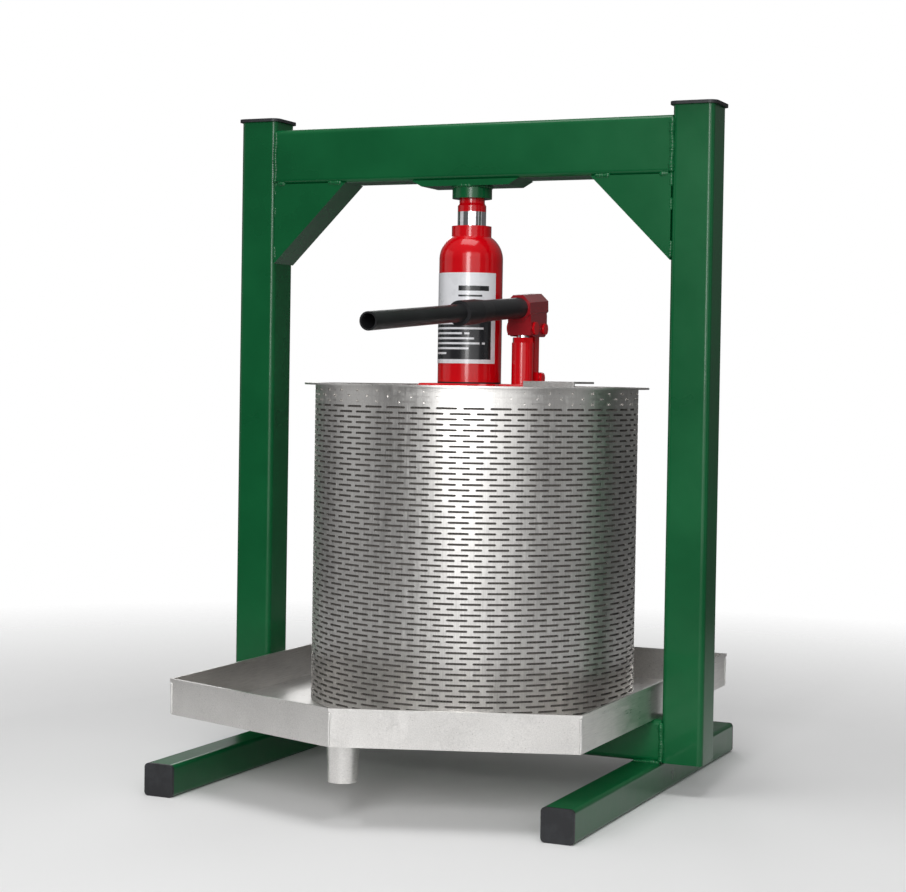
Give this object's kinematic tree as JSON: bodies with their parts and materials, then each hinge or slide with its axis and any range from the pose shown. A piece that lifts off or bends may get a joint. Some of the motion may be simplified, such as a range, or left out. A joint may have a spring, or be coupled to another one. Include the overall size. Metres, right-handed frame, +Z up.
{
  "type": "cider press",
  "caption": "Free-standing cider press: a steel gantry, a slotted basket in a juice tray and a bottle jack that pushes a round plate down.",
  "frame": {"origin": "on the floor, in the middle of the overall width and length, which is midway between the uprights and 56.4 mm in front of the upright axis of the jack; the basket's axis is 4 mm to the right of the jack's and 10 mm behind it", "axes": "+Z up, -Y towards the front where the tray's spout and the pump handle point, +X towards the pump side of the jack"},
  "size_m": [0.506, 0.5607, 0.647],
  "materials": {
    "green_paint": "gloss green enamel over welded steel",
    "red_paint": "gloss red enamel",
    "socket_paint": "gloss dark red enamel",
    "stainless": "brushed stainless sheet",
    "chrome": "hard chrome, polished",
    "black_cap": "moulded dark grey plastic",
    "handle_black": "satin black enamel",
    "label_film": "printed film, white and black",
    "steel": "turned steel, oiled",
    "black_mesh": "dark plastic mesh",
    "black_rubber": "nitrile rubber"
  },
  "bodies": {
    "frame": {"left_upright": "green_paint", "right_upright": "green_paint", "top_beam": "green_paint", "bottom_beam": "green_paint", "left_foot": "green_paint", "right_foot": "green_paint", "left_gusset": "green_paint", "right_gusset": "green_paint", "beam_doubler": "green_paint", "lower_doubler": "green_paint", "left_upright_cap": "black_cap", "right_upright_cap": "black_cap", "foot_end_caps": "black_cap", "ram_socket": "green_paint", "extension_screw": "red_paint"},
    "tray": {"tray_pan": "stainless", "drain_spout": "stainless"},
    "basket": {"basket_shell": "stainless", "filter_sleeve": "black_mesh", "basket_rim_ring": "stainless"},
    "ram_rod": {"ram": "chrome", "ram_piston": "steel", "piston_cup_seal": "black_rubber"},
    "jack": {"jack_reservoir": "red_paint", "reservoir_gasket": "black_rubber", "jack_cylinder": "steel", "neck_nut": "red_paint", "ram_wiper": "black_rubber", "filler_plug": "black_rubber", "body_label": "label_film", "jack_base": "red_paint", "check_balls": "steel", "pocket_screws": "steel", "pump_cylinder": "red_paint", "pump_gland": "red_paint", "link_base_pin": "red_paint"},
    "plate": {"pressing_plate": "stainless", "jack_platform": "stainless", "jack_clip": "stainless"},
    "valve": {"release_valve": "steel"},
    "pump_rod": {"pump_piston": "chrome", "pump_piston_seal": "black_rubber", "piston_pin": "red_paint"},
    "link": {"link_arm": "red_paint", "link_top_pin": "red_paint"},
    "lever": {"handle_socket": "socket_paint"},
    "handle": {"handle_lower_tube": "handle_black", "handle_upper_tube": "handle_black"}
  },
  "joints": [
    {"name": "screw_extension", "type": "slide", "parent": "frame", "child": "ram_rod", "axis": [0, 0, -1], "range_m": [0, 0.015]},
    {"name": "press_stroke", "type": "slide", "parent": "ram_rod", "child": "jack", "axis": [0, 0, -1], "range_m": [-0.013, 0.027]},
    {"name": "plate_travel", "type": "slide", "parent": "jack", "child": "plate", "axis": [0, 0, -1], "range_m": [0, 0.2]},
    {"name": "basket_lift", "type": "slide", "parent": "frame", "child": "basket", "axis": [0, 0, 1], "range_m": [0, 0.008]},
    {"name": "tray_slide", "type": "slide", "parent": "frame", "child": "tray", "axis": [0, -1, 0], "range_m": [0, 0.042]},
    {"name": "handle_pump", "type": "hinge", "parent": "link", "child": "lever", "pos_m": [0.056, 0.0814, 0.436], "axis": [-1, 0, 0], "range_deg": [0, 45]},
    {"name": "link_swing", "type": "hinge", "parent": "jack", "child": "link", "pos_m": [0.056, 0.0814, 0.388], "axis": [1, 0, 0], "range_deg": [0, 7]},
    {"name": "piston_stroke", "type": "slide", "parent": "jack", "child": "pump_rod", "axis": [0, 0, 1], "range_m": [0, 0.0156]},
    {"name": "handle_draw", "type": "slide", "parent": "lever", "child": "handle", "axis": [0, -0.9976, -0.0698], "range_m": [0, 0.043]},
    {"name": "valve_turn", "type": "hinge", "parent": "jack", "child": "valve", "pos_m": [0.024, 0.0144, 0.37325], "axis": [0, -1, 0], "range_deg": [0, 270]}
  ],
  "couplings": [
    {"joint": "link_swing", "follows": "handle_pump", "ratio": 0.14446},
    {"joint": "piston_stroke", "follows": "handle_pump", "m_per_rad": 0.019422}
  ]
}
